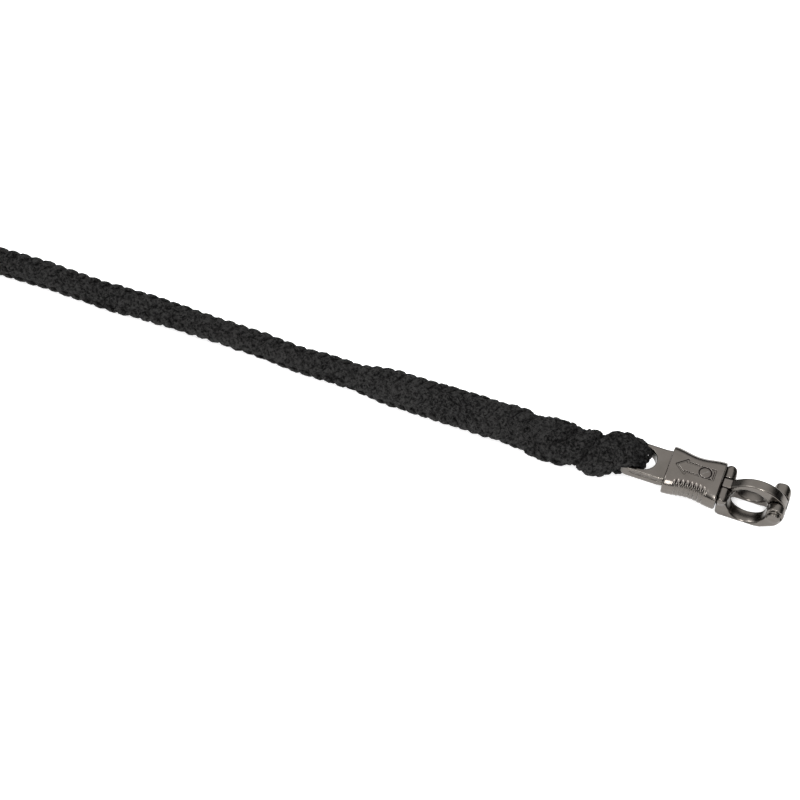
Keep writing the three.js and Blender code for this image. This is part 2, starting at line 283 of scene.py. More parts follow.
def smooth_through(stations, step):
    """Rows through the stations on a Catmull-Rom curve, about step apart in their first 3 columns."""
    p = np.asarray(stations, float)
    p = np.vstack([2 * p[0] - p[1], p, 2 * p[-1] - p[-2]])
    rows, samples = [], 24
    t = np.linspace(0, 1, samples, endpoint=False)[:, None]
    for a, b, c, d in zip(p, p[1:], p[2:], p[3:]):
        rows.append(0.5 * (2 * b + (c - a) * t + (2 * a - 5 * b + 4 * c - d) * t**2
                           + (3 * b - a - 3 * c + d) * t**3))
    rows = np.vstack([*rows, p[-2]])
    return even(rows, step)


def even(rows, step):
    """The same line with its rows spaced evenly."""
    gone = np.concatenate([[0], np.cumsum(np.linalg.norm(np.diff(rows[:, :3], axis=0), axis=1))])
    wanted = np.linspace(0, gone[-1], max(2, round(gone[-1] / step) + 1))
    return np.stack([np.interp(wanted, gone, column) for column in rows.T], -1)


# ---------------------------------------------------------------- braid
CARRIERS = 8           # in each direction, over two and under two
CROWN = 1.15           # how far a carrier rises and dips
CARRIER_THICK = 1.2    # half its thickness
CARRIER_SIDES = 9
CORE_SIDES = 20
ROPE_PITCH, SPLICE_PITCH = 59.0, 53.0
LEAST_HALF = 1.5       # least half size of the loop round which the carriers' lines run
OVERLAP = 0.52         # a carrier's half width, as a part of the room it has
PLIES, PLY_DEPTH, PLY_TWIST = 3, 0.07, 0.35
CORE_FILL = 0.97


def braid_mesh(centre, across, out, wide, thick, phase, seed):
    """Sixteen carriers laid over a core. wide and thick are the rope's half sizes along across and out."""
    draw = np.random.default_rng(seed)
    n = len(centre)

    def unrest(amount, every):
        """A smooth random line of n values, with a new draw at every so many rows."""
        knots = np.arange(0, n + every, every)
        return amount * np.interp(np.arange(n), knots, draw.standard_normal(len(knots)))

    # The carriers drift round the rope, and its thickness wanders a little.
    spin = np.cumsum(unrest(0.02, 40) + 0.012)
    swell = 1 + unrest(0.012, 9)
    wide, thick = wide * swell, thick * swell
    inset = CROWN + CARRIER_THICK
    w, t = np.maximum(wide - inset, LEAST_HALF), np.maximum(thick - inset, LEAST_HALF)
    along = np.gradient(centre, axis=0)
    step = np.linalg.norm(along, axis=1)
    points, faces, uvs = [], [], []
    ring = 2 * math.pi * np.arange(CARRIER_SIDES) / CARRIER_SIDES
    count = 0
    for way in (1, -1):
        for k in range(CARRIERS):
            theta = way * phase + 2 * math.pi * k / CARRIERS + spin + unrest(0.035, 5)
            turn = (2 * phase) * CARRIERS / (2 * math.pi) + way * 2 * k
            lift = 1.3 * np.cos(math.pi / 2 * ((turn % 4) - 0.5 - (0 if way == 1 else 2)))
            lift = np.clip(lift, -1, 1) * CROWN + unrest(0.16, 4) - 0.1
            cos, sin = np.cos(theta), np.sin(theta)
            normal = unit((cos / w)[:, None] * across + (sin / t)[:, None] * out)
            line = centre + (w * cos)[:, None] * across + (t * sin)[:, None] * out + lift[:, None] * normal
            tangent = unit(np.gradient(line, axis=0))
            normal = unit(normal - (normal * tangent).sum(1, keepdims=True) * tangent)
            side = np.cross(tangent, normal)
            spread = np.hypot(w * sin, t * cos) * 2 * math.pi / CARRIERS
            slope = spread * CARRIERS * np.gradient(phase) / (2 * math.pi) / np.maximum(step, 1e-6)
            half = OVERLAP * spread / np.hypot(1, slope)
            wobble = 1 + unrest(0.05, 4)
            gone = np.concatenate([[0], np.cumsum(np.linalg.norm(np.diff(line, axis=0), axis=1))])
            twist = gone[:, None] * PLY_TWIST + ring[None, :] + draw.uniform(0, 6.28)
            lobes = 1 + PLY_DEPTH * np.cos(PLIES * twist)
            ring_points = (line[:, None, :]
                           + (side[:, None, :] * (half * wobble)[:, None, None]
                              * (np.cos(ring)[None, :] * lobes)[:, :, None])
                           + (normal[:, None, :] * CARRIER_THICK
                              * (np.sin(ring)[None, :] * lobes)[:, :, None]))
            points.append(ring_points.reshape(-1, 3))
            quads = ring_faces(n, CARRIER_SIDES)
            faces.append(quads + count)
            i, j = np.divmod(quads, CARRIER_SIDES)
            last = (np.arange(len(quads)) % CARRIER_SIDES) == CARRIER_SIDES - 1
            v = j / CARRIER_SIDES
            v[last, 1:3] = 1.0
            # Each carrier starts elsewhere on the yarn's pattern.
            shift = 17.3 * k + 5.1 * way
            uvs.append(np.stack([gone[i] / 10 + shift, v], -1).reshape(-1, 2))
            count += n * CARRIER_SIDES
    angle = 2 * math.pi * np.arange(CORE_SIDES) / CORE_SIDES
    core = (centre[:, None, :]
            + across[:, None, :] * (w[:, None] * np.cos(angle))[:, :, None] * CORE_FILL
            + out[:, None, :] * (t[:, None] * np.sin(angle))[:, :, None] * CORE_FILL)
    points.append(core.reshape(-1, 3))
    quads = ring_faces(n, CORE_SIDES)
    faces.append(quads + count)
    i, j = np.divmod(quads, CORE_SIDES)
    uvs.append(np.stack([i * 0.2, j / CORE_SIDES], -1).reshape(-1, 2))
    return np.vstack(points), np.vstack(faces), np.vstack(uvs)


def carried_frame(centre, first_across):
    """Across and out directions carried along a line without twist."""
    tangent = unit(np.gradient(centre, axis=0))
    across = np.zeros_like(centre)
    current = np.asarray(first_across, float)
    for i, t in enumerate(tangent):
        current = current - current.dot(t) * t
        current = current / np.linalg.norm(current)
        across[i] = current
    return across, np.cross(across, tangent)


def hinted_frame(centre, hint):
    """Across and out directions where hint says roughly which way is out."""
    tangent = unit(np.gradient(centre, axis=0))
    out = unit(hint - (hint * tangent).sum(1, keepdims=True) * tangent)
    return np.cross(tangent, out), out


def braid_phase(centre, pitch):
    """How far round the rope a carrier has turned at each row."""
    steps = np.linalg.norm(np.diff(centre, axis=0), axis=1)
    return np.concatenate([[0], np.cumsum(2 * math.pi * steps / pitch)])


# ---------------------------------------------------------------- the free rope
ROPE_DIAMETER = 17.0
ROPE_STEP, EYE_STEP = 2.1, 1.7               # between two rows of a braid
STANDING_ROUTE = [
    (-137, -2.0, 8.5), (-152, -1.9, 8.5), (-170, -2.7, 8.5), (-186, -1.8, 8.5), (-202, -0.9, 8.5),
    (-218, -0.7, 8.5), (-234, -0.8, 8.5), (-250, -0.6, 8.5), (-266, -0.5, 8.5), (-282, -1.3, 8.5),
    (-298, -1.9, 8.5), (-314, -1.5, 8.5), (-330, -0.9, 8.5), (-346, -1.2, 8.5), (-362, -1.7, 8.5),
    (-378, -1.7, 8.6), (-394, -1.7, 9.0), (-408, -1.7, 9.5),
]
hank_low, hank_high = (np.array(corner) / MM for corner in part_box("rope_hank"))
HANK_Y = (hank_low[1] + hank_high[1]) / 2
HANK_REACH = (hank_high[1] - hank_low[1]) / 2
HANK_LEFT, HANK_RIGHT = hank_low[0] + HANK_REACH, hank_high[0] - HANK_REACH
OUTER = HANK_REACH - ROPE_DIAMETER / 2       # outermost turns, from the hank's middle line
INNER = OUTER - ROPE_DIAMETER                # the turns inside them
UPPER = (OUTER + INNER) / 2                  # the turns that lie on both
BED, TOP = hank_low[2] + ROPE_DIAMETER / 2, hank_high[2] - ROPE_DIAMETER / 2
CROSSING_RISE = 1.5                          # the upper turn's extra height where it climbs
TUCKED_IN = 1.5                              # how far the rope runs into its whipping


def half_turn(x, start, end, z0, z1, leftward):
    """A half circle at one end of the hank, from y offset start to end, with its height eased."""
    centre, radius = (start + end) / 2, abs(start - end) / 2
    a = np.linspace(0, math.pi, 40)
    first = math.copysign(1, start - end)
    reach = -np.sin(a) if leftward else np.sin(a)
    ease = (1 - np.cos(a)) / 2
    return np.stack([x + radius * reach, HANK_Y + centre + first * radius * np.cos(a),
                     z0 + (z1 - z0) * ease], -1)


def run(x0, x1, offset, z0, z1=None, rise_from=0.6):
    """A straight run of the hank, which eases from z0 to z1 after the part rise_from of its length."""
    t = np.linspace(0, 1, 20)
    ease = np.clip((t - rise_from) / (1 - rise_from), 0, 1)
    ease = ease * ease * (3 - 2 * ease)
    z = z0 + ((z1 if z1 is not None else z0) - z0) * ease
    return np.stack([x0 + (x1 - x0) * t, np.full_like(t, HANK_Y + offset), z], -1)


def rope_route():
    """The free stretch, then the hank: two turns on the floor and one on top of them."""
    over = TOP + CROSSING_RISE
    end_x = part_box("rope_end")[1].x / MM - TUCKED_IN
    route = np.vstack([
        STANDING_ROUTE,
        run(HANK_RIGHT, HANK_LEFT, -OUTER, BED),
        half_turn(HANK_LEFT, -OUTER, OUTER, BED, BED, True)[1:],
        run(HANK_LEFT, HANK_RIGHT, OUTER, BED)[1:],
        half_turn(HANK_RIGHT, OUTER, -INNER, BED, BED, False)[1:],
        run(HANK_RIGHT, HANK_LEFT, -INNER, BED)[1:],
        half_turn(HANK_LEFT, -INNER, INNER, BED, BED, True)[1:],
        run(HANK_LEFT, HANK_RIGHT, INNER, BED, over - 3)[1:],
        half_turn(HANK_RIGHT, INNER, -UPPER, over - 3, over, False)[1:],
        run(HANK_RIGHT, HANK_LEFT, -UPPER, over, TOP, 0.0)[1:],
        half_turn(HANK_LEFT, -UPPER, UPPER, TOP, TOP, True)[1:],
        run(HANK_LEFT, end_x, UPPER, TOP)[1:],
    ])
    return smooth_through(route, ROPE_STEP)


def make_rope():
    centre = rope_route()
    across, out = carried_frame(centre, (0, -1, 0))
    half = np.full(len(centre), ROPE_DIAMETER / 2 + 0.1)
    phase = -braid_phase(centre, ROPE_PITCH)
    points, faces, uv = braid_mesh(centre, across, out, half, half, phase, 1)
    return centre, mesh_piece("rope_braid", points, faces, ROPE_YARN, "rope_and_body",
                              ("rope_standing", "rope_hank"), uv)


rope_path, rope = make_rope()


# ---------------------------------------------------------------- the rope's end and the tie
def make_rope_end():
    """The bare end, whipped with twine and sealed flat."""
    low, high = (np.array(corner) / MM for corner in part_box("rope_end"))
    radius = (high[1] - low[1]) / 2
    turns, samples, ridge = 11, 8, 0.45
    s = np.linspace(0, 1, turns * samples + 1)
    body = radius - ridge + ridge * np.abs(np.sin(math.pi * turns * s))
    # Before the twine comes its inner edge, and after it the rounded, sealed face.
    x = low[0] + 1 + (high[0] - low[0] - 4) * s
    x = np.concatenate([[x[0], x[0]], x, [x[-1] + 0.6, x[-1] + 2.2, x[-1] + 2.8, x[-1] + 2.9]])
    body = np.concatenate([[5.0, radius - 1.2], body, [radius - 1.0, radius - 1.4, radius - 2.6, 0.2]])
    sides = 40
    a = 2 * math.pi * np.arange(sides) / sides
    points = np.stack([
        np.repeat(x[:, None], sides, 1),
        (low[1] + high[1]) / 2 + body[:, None] * np.cos(a),
        (low[2] + high[2]) / 2 + body[:, None] * np.sin(a),
    ], -1).reshape(-1, 3)
    faces = ring_faces(len(x), sides)
    i, j = np.divmod(faces, sides)
    uv = np.stack([j * 0.13, i / 8.0], -1)
    return mesh_piece("whipped_end", points, faces, ROPE_YARN, "rope_and_body",
                      ("rope_end",), uv)


def make_tie():
    """A flat strap round the hank, lapped on top."""
    low, high = (np.array(corner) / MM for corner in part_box("hank_tie"))
    mid_x, half_wide = (low[0] + high[0]) / 2, (high[0] - low[0]) / 2
    slack = 0.3
    thick = hank_low[2] - slack
    around = ROPE_DIAMETER / 2 + slack + thick / 2
    corners = [(OUTER, BED, -90, 30), (UPPER, TOP, 30, 90),
               (-UPPER, TOP, 90, 150), (-OUTER, BED, 150, 270)]
    path = []
    for y, z, a0, a1 in corners:
        a = np.radians(np.linspace(a0, a1, 12))
        path.append(np.stack([y + around * np.cos(a), z + around * np.sin(a)], -1))
    path = np.vstack(path)
    path = np.vstack([path, path[0]])
    path = even(np.hstack([path, np.zeros((len(path), 1))]), 2.0)[:, :2]
    lap_start, lap_end, lap_points = UPPER - 14, 30 - UPPER, 14
    lap = np.stack([np.linspace(lap_start, lap_end, lap_points),
                    np.full(lap_points, TOP + around + thick)], -1)
    pieces = []
    for name, line, closed in (("hank_tie_band", path[:-1], True), ("hank_tie_lap", lap, False)):
        tangent = np.roll(line, -1, 0) - np.roll(line, 1, 0)
        if not closed:
            tangent = np.gradient(line, axis=0)
        tangent = unit(tangent)
        outward = np.stack([tangent[:, 1], -tangent[:, 0]], -1)
        if not closed:
            outward = -outward
        section = [(-1, -0.3), (-0.94, -0.5), (0.94, -0.5), (1, -0.3), (1, 0.3), (0.94, 0.5),
                   (0.3, 0.56), (-0.3, 0.56), (-0.94, 0.5), (-1, 0.3)]
        rings = []
        for sx, so in section:
            yz = line + outward * so * thick
            x = np.full(len(line), mid_x + sx * half_wide)
            rings.append(np.stack([x, HANK_Y + yz[:, 0], yz[:, 1]], -1))
        points = np.stack(rings, 1).reshape(-1, 3)
        faces = ring_faces(len(line), len(section), closed)
        if not closed:
            start = np.array([[0, 1, 2, 3], [0, 3, 4, 9], [9, 4, 5, 8], [8, 5, 6, 7]])
            end = start + (len(line) - 1) * len(section)
            faces = np.vstack([faces, start[:, ::-1], end])
        pieces.append(mesh_piece(name, points, faces, TIE_STRAP, "rope_and_body",
                                 ("hank_tie",) if closed else ()))
    return pieces


rope_end = make_rope_end()
tie_band, tie_lap = make_tie()


# ---------------------------------------------------------------- splice, crossing and eye
# The rope runs on from the free cord: swollen over its own buried tail, then round the eye and
# back. Stations are x, y, z, half thickness, half width in the snap's frame, and then the y and z
# of the way its flat side faces.
EYE_RUN = [
    (-198.8, -3.6, -5.0, 8.6, 8.6, 0, 1), (-192, -4.1, -4.2, 9.3, 9.3, 0, 1),
    (-184, -4.6, -2.8, 10.7, 10.7, 0, 1), (-176, -4.9, -2.1, 11.4, 11.4, 0, 1),
    (-157, -4.9, -1.7, 11.8, 11.8, 0, 1), (-132, -4.7, -1.4, 12.1, 12.1, 0, 1),
    (-107, -4.6, -0.9, 12.6, 12.6, 0, 1), (-93, -4.7, -0.7, 12.8, 12.8, 0, 1),
    (-85, -5.6, -1.9, 11.4, 12.4, -0.2, 1), (-77, -8.4, -3.3, 8.8, 11.4, -0.8, 0.6),
    (-70, -11.0, -3.4, 7.2, 10.2, -1, 0), (-63.5, -12.0, -1.4, 6.8, 9.8, -1, 0.2),
    (-58.2, -10.2, 3.2, 6.2, 8.8, -0.75, 0.7), (-54.2, -5.4, 6.6, 5.8, 7.8, -0.15, 1),
    (-50.6, -1.0, 6.2, 5.6, 7.2, 0.4, 0.9), (-47, 2.0, 3.6, 5.6, 7.0, 0.85, 0.55),
    (-43, 2.2, -1.6, 5.4, 7.4, 1, -0.15), (-38.5, 0.4, -6.6, 5.0, 8.2, 0.5, -0.9),
    (-33, -1.5, -8.8, 4.8, 8.6, 0, -1), (-27.5, -0.6, -8.9, 4.6, 8.2, 0, -1),
    (-21.6, 0.3, -8.1, 4.5, 6.8, 0, -1),
]
HOLE_RUN = [(-17.6, 0.5, -4.7, 4.4, 6.2), (-16.7, 0.2, 0, 4.5, 6.4), (-17.7, -0.6, 5.0, 4.7, 7.6)]
TAIL_RUN = [
    (-21.2, -1.9, 8.8, 5.0, 9.8, -0.15, 1), (-27.0, -3.3, 9.6, 5.5, 11.4, -0.3, 1),
    (-31.5, -3.9, 8.9, 5.9, 11.6, -0.45, 1), (-35.2, -5.8, 7.0, 6.2, 11.0, -0.6, 0.9),
    (-38.8, -9.4, 2.6, 6.4, 10.2, -0.85, 0.5), (-43, -12.6, -3.2, 6.7, 9.6, -1, -0.15),
    (-47.5, -11.4, -6.0, 6.2, 8.6, -0.7, -0.7), (-53, -5.0, -7.7, 5.4, 8.0, 0, -1),
    (-58.6, 1.8, -3.8, 5.5, 8.2, 0.85, -0.45), (-64, 1.8, 3.0, 5.8, 8.8, 0.8, 0.55),
    (-69, -2.4, 5.8, 6.2, 9.6, 0.2, 1), (-75, -4.6, 5.4, 6.5, 10.2, -0.1, 1),
    (-82, -5.0, 3.6, 6.6, 9.8, 0, 1), (-90, -4.8, 0.0, 7.0, 8.6, 0, 1),
    (-100, -4.7, -0.9, 7.2, 7.2, 0, 1), (-166, -4.9, -1.8, 6.6, 6.6, 0, 1),
    (-176, -4.9, -2.0, 4.0, 4.0, 0, 1),
]
# In the hole the flat side faces the snap's nose, leaning to the near side and turning with height.
HOLE_LEAN, HOLE_TURN = -0.55, 12
SPLICE_END_X, CROSSING_END_X, TAIL_START_X = -90.0, -38.0, -50.0
FIRST_EYE_SEED = 20


def eye_stations():
    """All three runs as one list, with the way the flat side faces as x, y and z."""
    def facing(run_stations):
        return [(*s[:5], 0, s[5], s[6]) for s in run_stations]

    through_hole = [(*s, 1, HOLE_LEAN, s[2] / HOLE_TURN) for s in HOLE_RUN]
    return facing(EYE_RUN) + through_hole + facing(TAIL_RUN)


def make_eye():
    """The splice, the crossing, the eye and the buried tail, as four pieces of one line."""
    rows = smooth_through(eye_stations(), EYE_STEP)
    centre = rows[:, :3] + SNAP
    across, out = hinted_frame(centre, rows[:, 5:8])
    phase = braid_phase(centre, SPLICE_PITCH)
    x = rows[:, 0]
    hole = int(np.argmax(x))
    going, coming = np.arange(len(x)) <= hole, np.arange(len(x)) > hole
    splice_end = int(np.argmax(going & (x > SPLICE_END_X)))
    crossing_end = int(np.argmax(going & (x > CROSSING_END_X)))
    eye_end = int(np.argmax(coming & (x < TAIL_START_X)))
    cuts = [0, splice_end, crossing_end, eye_end, len(x) - 1]
    names = [("splice_braid", "rope_splice"), ("crossing_braid", "rope_tuck"),
             ("eye_braid", "rope_eye_loop"), ("tail_braid", "rope_tail")]
    for seed, ((name, node), start, end) in enumerate(zip(names, cuts, cuts[1:]), FIRST_EYE_SEED):
        part = slice(start, end + 1)
        points, faces, uv = braid_mesh(centre[part], across[part], out[part],
                                       rows[part, 4], rows[part, 3], phase[part], seed)
        mesh_piece(name, points, faces, ROPE_YARN, "rope_and_body", (node,), uv)


make_eye()


# ---------------------------------------------------------------- cast parts as distance fields
class Field:
    """Distances on a grid in the snap's frame, negative inside, meshed by surface nets."""

    def __init__(self, low, high, step):
        self.low, self.step = np.array(low, float), step
        axes = [np.arange(a, b + step, step) for a, b in zip(low, high)]
        grids = np.meshgrid(*axes, indexing="ij", sparse=True)
        self.x, self.y, self.z = (grid.astype(np.float32) for grid in grids)
        self.shape = tuple(len(a) for a in axes)

    def box(self, x0, x1, y0, y1, z0, z1):
        a = np.maximum(x0 - self.x, self.x - x1)
        b = np.maximum(y0 - self.y, self.y - y1)
        c = np.maximum(z0 - self.z, self.z - z1)
        outside = np.sqrt(np.maximum(a, 0) ** 2 + np.maximum(b, 0) ** 2 + np.maximum(c, 0) ** 2)
        return outside + np.minimum(np.maximum(np.maximum(a, b), c), 0)

    def upright(self, x, y, radius):
        return np.hypot(self.x - x, self.y - y) - radius

    def crosswise(self, x, z, radius):
        return np.hypot(self.x - x, self.z - z) - radius

    def mesh(self, field):
        field = np.ascontiguousarray(np.broadcast_to(field, self.shape), np.float32)
        inside = field < 0

        def corner(a, c):
            return a[tuple(slice(i, n - 1 + i) for i, n in zip(c, a.shape))]

        corners = [(i, j, k) for i in (0, 1) for j in (0, 1) for k in (0, 1)]
        total = sum(corner(inside, c).astype(np.int8) for c in corners)
        active = (total > 0) & (total < 8)
        cells = np.argwhere(active)
        index = np.full(active.shape, -1, np.int64)
        index[active] = np.arange(len(cells))
        sums, hits = np.zeros((len(cells), 3)), np.zeros(len(cells))
        for start in map(np.array, corners):
            for axis in range(3):
                if start[axis]:
                    continue
                end = start.copy()
                end[axis] = 1
                f0, f1 = corner(field, start)[active], corner(field, end)[active]
                cross = (f0 < 0) != (f1 < 0)
                t = f0[cross] / (f0[cross] - f1[cross])
                sums[cross] += start
                sums[cross, axis] += t
                hits[cross] += 1
        points = self.low + self.step * (cells + sums / hits[:, None])
        quads = []
        for axis in range(3):
            u, v = (axis + 1) % 3, (axis + 2) % 3
            first = [slice(None)] * 3
            second = [slice(None)] * 3
            first[axis], second[axis] = slice(0, -1), slice(1, None)
            for other in (u, v):
                first[other] = second[other] = slice(1, -1)
            a, b = inside[tuple(first)], inside[tuple(second)]
            p = np.argwhere(a != b)
            leaving = a[tuple(p.T)]
            p[:, u] += 1
            p[:, v] += 1
            pu, pv = p.copy(), p.copy()
            pu[:, u] -= 1
            pv[:, v] -= 1
            puv = pu.copy()
            puv[:, v] -= 1
            quad = np.stack([index[tuple(c.T)] for c in (p, pu, puv, pv)], -1)
            quad[~leaving] = quad[~leaving][:, ::-1]
            quads.append(quad)
        return points + SNAP, np.vstack(quads)


def rounded_both(a, b, r):
    """Where both hold, with the edge between them rounded to r."""
    a, b = a + r, b + r
    return np.minimum(np.maximum(a, b), 0) + np.hypot(np.maximum(a, 0), np.maximum(b, 0)) - r


def joined(a, b, r):
    """Either one, with a cast fillet of about r where they meet."""
    h = np.maximum(r - np.abs(a - b), 0) / r
    return np.minimum(a, b) - h * h * r / 4


def cut(a, b, r=0.3):
    """a without b, with the lip rounded."""
    h = np.maximum(r - np.abs(a + b), 0) / r
    return np.maximum(a, -b) + h * h * r / 4


def rounded_box_2d(u, v, half_u, half_v, corner):
    a, b = np.abs(u) - half_u + corner, np.abs(v) - half_v + corner
    return np.hypot(np.maximum(a, 0), np.maximum(b, 0)) + np.minimum(np.maximum(a, b), 0) - corner


def arc(x, z, rx, rz, start, end, steps=24):
    a = np.linspace(start, end, steps)
    return [(x + rx * math.cos(t), z + rz * math.sin(t)) for t in a]


def outline_distance(outline, u, v):
    """Signed distance from a closed outline on the plane of u and v."""
    p = np.asarray(outline, float)
    shape = np.broadcast(u, v).shape
    u, v = np.broadcast_to(u, shape).ravel(), np.broadcast_to(v, shape).ravel()
    best = np.full(u.shape, 1e9)
    inside = np.zeros(u.shape, bool)
    for (x0, z0), (x1, z1) in zip(p, np.roll(p, -1, 0)):
        dx, dz = x1 - x0, z1 - z0
        if dx == 0 and dz == 0:
            continue
        t = np.clip(((u - x0) * dx + (v - z0) * dz) / (dx * dx + dz * dz), 0, 1)
        best = np.minimum(best, (u - x0 - t * dx) ** 2 + (v - z0 - t * dz) ** 2)
        if z0 != z1:
            crosses = ((z0 > v) != (z1 > v)) & (u < dx * (v - z0) / dz + x0)
            inside ^= crosses
    return (np.where(inside, -1, 1) * np.sqrt(best)).reshape(shape).astype(np.float32)


PLATE_END, PLATE_HALF_WIDTH, PLATE_HALF_THICK, PLATE_CORNER = -28.4, 11.2, 4.1, 5.0
PLATE_SHIFT = 0.7      # how far the plate stands to the near side
EYE_HOLE_X, EYE_HOLE = -16.5, 8.3
GROOVE_START, GROOVE_Y, GROOVE_Z, GROOVE = -22, 11.7, 0.9, 1.15
SLOT_START, SLOT_END, SLOT_HALF_WIDTH = 1.5, 24.6, 3.1
NECK_START, NECK_HALF_WIDTH, NECK_HALF_THICK = 31.9, 8.2, 1.6
JAW_START, JAW_HALF_WIDTH, JAW_FLOOR, JAW_NOSE, JAW_CORNER = 33.4, 11.8, -13.5, 75.0, 5.0
TROUGH_X, TROUGH, WINDOW_HALF_WIDTH = 52.2, 10.9, 3.7
WINDOW_START, WINDOW_END = 39.6, 63.4
HINGE_X, HINGE_Z, HINGE_LUG, KNUCKLE = 68.8, 0.2, 6.0, 5.8
LUG_X, LUG_Z, LUG, LUG_HALF_LENGTH = 35.9, 2.1, 2.5, 13.6
TONGUE, CLEARANCE = 3.4, 0.5
HINGE_PIN, HINGE_PIN_HALF_LENGTH = 2.0, 9.8
SLEEVE_TOP = 7.7
SLEEVE_PIN_X, SLEEVE_PIN, SLEEVE_PIN_HEAD = 21.9, 2.0, 3.7
PIN_PLAY = 0.3


def eye_plate(f):
    """The plate with the rope's hole, the spring's slot and a groove along each edge."""
    plate_y = f.y + PLATE_SHIFT * np.clip(-f.x / 4, 0, 1)
    buried = 40        # the outline runs on into the jaw, and is cut off there
    plan = rounded_box_2d(f.x - (PLATE_END + buried) / 2, plate_y, (buried - PLATE_END) / 2,
                          PLATE_HALF_WIDTH, PLATE_CORNER)
    plate = rounded_both(plan, np.abs(f.z) - PLATE_HALF_THICK, 1.3)
    plate = np.maximum(plate, f.x - 37)
    groove = np.hypot(np.abs(plate_y) - GROOVE_Y, f.z - GROOVE_Z) - GROOVE
    plate = cut(plate, np.maximum(groove, GROOVE_START - f.x), 0.25)
    plate = cut(plate, f.upright(EYE_HOLE_X, -PLATE_SHIFT, EYE_HOLE), 0.7)
    plate = cut(plate, f.box(SLOT_START, SLOT_END, -SLOT_HALF_WIDTH, SLOT_HALF_WIDTH, -9, 9), 0.4)
    neck = np.maximum(f.x - JAW_START, NECK_START - f.x)
    around = np.maximum(np.abs(f.y) - NECK_HALF_WIDTH, np.abs(f.z) - NECK_HALF_THICK)
    return cut(plate, np.maximum(neck, -around), 0.4)


def lower_jaw(f):
    """The fork with its ring-shaped trough, the barrel for the hinge pin and the two lugs."""
    side = ([(JAW_START, 2.6), (JAW_START, JAW_FLOOR + 2.6), (JAW_START + 0.8, JAW_FLOOR + 0.8),
             (JAW_START + 2.6, JAW_FLOOR), (58, JAW_FLOOR), (62, JAW_FLOOR + 0.9),
             (66, JAW_FLOOR + 3.4), (70.3, -7.2), (73.2, -3.9)]
            + arc(HINGE_X, HINGE_Z, HINGE_LUG, HINGE_LUG, -0.75, 2.3)
            + [(62.5, 1.5), (JAW_START + 8.6, 1.5), (JAW_START + 5.2, 2.6)])
    profile = outline_distance(side, f.x, f.z)
    plan = rounded_box_2d(f.x - JAW_NOSE / 2, f.y, JAW_NOSE / 2, JAW_HALF_WIDTH, JAW_CORNER)
    arms = rounded_both(profile, plan, 1.1)
    # The trough opens a little towards both side faces, like the inside of a ring.
    flare = 1 + 0.11 * (np.abs(f.y) / JAW_HALF_WIDTH) ** 3
    trough = (np.hypot((f.x - TROUGH_X + 0.7) / 1.05, f.z) / flare - TROUGH) * flare
    arms = cut(arms, trough, 1.4)
    # Outside the hinge barrel the near side drops to a low shoulder round the pin's head.
    shoulder = np.maximum(f.y + 9.4, np.maximum(61 - f.x, -0.9 - f.z))
    arms = cut(arms, shoulder, 0.8)
    head = rounded_both(f.crosswise(HINGE_X, HINGE_Z - 0.4, 3.9), np.abs(f.y) - JAW_HALF_WIDTH, 0.6)
    arms = joined(arms, head, 0.4)
    lugs = rounded_both(f.crosswise(LUG_X, LUG_Z, LUG), np.abs(f.y) - LUG_HALF_LENGTH, 1.2)
    return joined(arms, lugs, 3.6)


def snap_body():
    f = Field((-30.4, -15.2, -15.2), (77.6, 15.2, 8.4), 0.36)
    body = joined(eye_plate(f), lower_jaw(f), 1.5)

    window_x, window_half = (WINDOW_START + WINDOW_END) / 2, (WINDOW_END - WINDOW_START) / 2
    window = rounded_box_2d(f.x - window_x, f.y, window_half,
                            WINDOW_HALF_WIDTH, WINDOW_HALF_WIDTH - 0.4)
    body = cut(body, np.maximum(window, f.z - 2), 1.2)
    free = np.abs(f.y) - TONGUE - CLEARANCE
    body = cut(body, np.maximum(free, f.box(29.4, 43, -9, 9, -2.4, 30)), 0.4)
    over_hinge = np.minimum(f.box(62, 90, -9, 9, HINGE_Z, 30),
                            f.box(HINGE_X + 1, 90, -9, 9, -30, 1))
    over_hinge = np.minimum(over_hinge, f.crosswise(HINGE_X, HINGE_Z, KNUCKLE + 0.8))
    body = cut(body, np.maximum(free, over_hinge), 0.5)
    bore = f.crosswise(HINGE_X, HINGE_Z, HINGE_PIN + PIN_PLAY)
    body = cut(body, np.maximum(bore, np.abs(f.y) - 11.0), 0.3)
    points, faces = f.mesh(body)
    mesh_piece("snap_casting", points, faces, CASTING, "rope_and_body", ("snap_body",))


def hinged_jaw():
    """The upper jaw. Its tongue reaches only just into the sleeve, so that it comes free in time."""
    f = Field((30.6, -4.2, -8.6), (76.4, 4.2, 14.6), 0.32)
    side = ([(32.2, -1.4), (32.2, 1.3), (33.0, 1.6), (33.4, 4.7), (38.6, 5.2)]
            + arc(56, -6, 19.6, 19.6, 2.27, 0.37, 40)
            + arc(HINGE_X, HINGE_Z, KNUCKLE, KNUCKLE, 0.3, -2.84)
            + arc(52, -1.5, 10.8, 9.7, 0, math.pi, 40))
    jaw = rounded_both(outline_distance(side, f.x, f.z), np.abs(f.y) - TONGUE, 1.0)
    jaw = cut(jaw, f.crosswise(HINGE_X, HINGE_Z, HINGE_PIN + PIN_PLAY), 0.3)
    points, faces = f.mesh(jaw)
    mesh_piece("jaw_casting", points, faces, JAW_CASTING, "jaw", ("hinged_jaw",))


